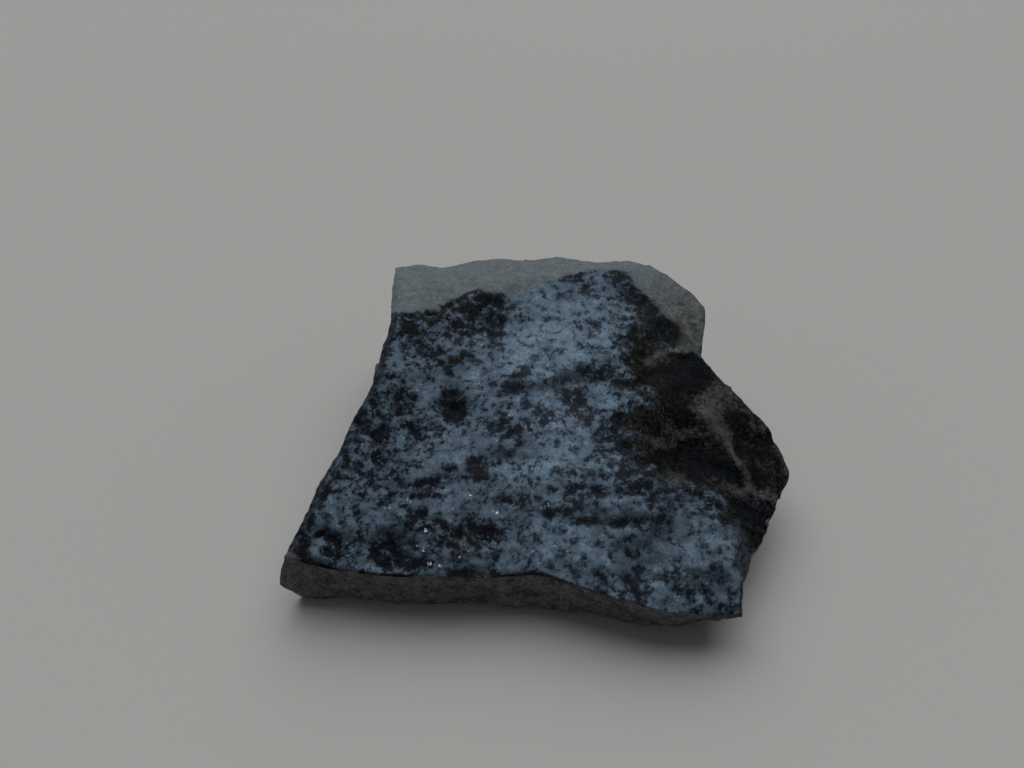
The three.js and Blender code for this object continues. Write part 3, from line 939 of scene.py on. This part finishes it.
class OBJECT_OT_hematite_stone(bpy.types.Operator):
    """Build the stone's detailed surface over its solid"""

    bl_idname = "object.hematite_stone"
    bl_label = "Build Stone"

    def execute(self, context):
        settings = context.scene.hematite_stone
        mesh = subdivided(merged_copy(NODE, "stone_surface"), settings.levels)
        mesh.name = "stone_surface"
        square_corner(mesh)
        roughen(mesh, settings.relief)
        mesh.materials.clear()
        mesh.materials.append(hematite_finish(settings))
        mesh.polygons.foreach_set("use_smooth", [True] * len(mesh.polygons))
        piece = bpy.data.objects.new("stone_surface", mesh)
        context.scene.collection.objects.link(piece)
        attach(piece, BODY)
        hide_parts(NODE)
        return {"FINISHED"}


class SCENE_OT_hematite_studio(bpy.types.Operator):
    """Set the pale floor, the soft light and the camera"""

    bl_idname = "scene.hematite_studio"
    bl_label = "Set Studio"

    def execute(self, context):
        scene = context.scene
        settings = scene.hematite_studio
        self.set_floor(scene, settings)
        self.set_light(scene, settings)
        self.set_camera(scene, settings)
        scene.view_settings.view_transform = "Standard"
        return {"FINISHED"}

    def set_floor(self, scene, settings):
        bm = bmesh.new()
        bmesh.ops.create_grid(bm, x_segments=1, y_segments=1, size=settings.floor_size / 2)
        mesh = bpy.data.meshes.new("studio_floor")
        bm.to_mesh(mesh)
        bm.free()
        mesh.materials.append(floor_finish(settings))
        floor = bpy.data.objects.new("studio_floor", mesh)
        scene.collection.objects.link(floor)

    def set_light(self, scene, settings):
        world = bpy.data.worlds.new("studio")
        world.use_nodes = True
        make = Shading(world.node_tree)
        direction = make.node("ShaderNodeTexCoord", {}, {})
        parts = make.node("ShaderNodeSeparateXYZ", {}, {0: direction.outputs["Generated"]})
        strength = make.node("ShaderNodeMapRange", {"interpolation_type": "SMOOTHSTEP"}, {
            "Value": parts.outputs["Z"], "From Max": settings.horizon_height,
            "To Min": settings.horizon, "To Max": settings.ambient,
        })
        backdrop = make.node("ShaderNodeBackground", {}, {
            "Color": (1.0, 1.0, 1.0, 1.0), "Strength": strength.outputs[0],
        })
        make.node("ShaderNodeOutputWorld", {}, {"Surface": backdrop.outputs[0]})
        scene.world = world
        light = bpy.data.lights.new("key", "SUN")
        light.angle = settings.key_width
        light.energy = settings.key_strength
        lamp = bpy.data.objects.new("key", light)
        lamp.location = Vector(KEY_PLACE) * MM
        lamp.rotation_mode = "QUATERNION"
        lamp.rotation_quaternion = lamp.location.to_track_quat("Z", "Y")
        scene.collection.objects.link(lamp)

    def set_camera(self, scene, settings):
        data = bpy.data.cameras.new("camera")
        data.lens = settings.lens
        data.sensor_width = 36.0
        data.clip_start = 0.001
        camera = bpy.data.objects.new("camera", data)
        camera.location = Vector(CAMERA_PLACE) * MM
        camera.rotation_euler = (radians(90) - settings.pitch, 0.0, 0.0)
        scene.collection.objects.link(camera)
        scene.camera = camera


class VIEW3D_PT_hematite(bpy.types.Panel):
    """Settings and buttons of the raw hematite stone"""

    bl_idname = "VIEW3D_PT_hematite"
    bl_label = "Raw Hematite Stone"
    bl_space_type = "VIEW_3D"
    bl_region_type = "UI"
    bl_category = "Hematite"

    def draw(self, context):
        layout = self.layout
        for settings, operator in (
            (context.scene.hematite_stone, OBJECT_OT_hematite_stone),
            (context.scene.hematite_studio, SCENE_OT_hematite_studio),
        ):
            column = layout.column()
            for name in settings.__annotations__:
                column.prop(settings, name)
            column.operator(operator.bl_idname)


CLASSES = (
    StoneSettings,
    StudioSettings,
    OBJECT_OT_hematite_stone,
    SCENE_OT_hematite_studio,
    VIEW3D_PT_hematite,
)


def register():
    for item in CLASSES:
        bpy.utils.register_class(item)
    bpy.types.Scene.hematite_stone = PointerProperty(type=StoneSettings)
    bpy.types.Scene.hematite_studio = PointerProperty(type=StudioSettings)


def unregister():
    del bpy.types.Scene.hematite_studio
    del bpy.types.Scene.hematite_stone
    for item in reversed(CLASSES):
        bpy.utils.unregister_class(item)


def main():
    register()
    bpy.ops.object.hematite_stone()
    bpy.ops.scene.hematite_studio()


if __name__ == "__main__":
    main()
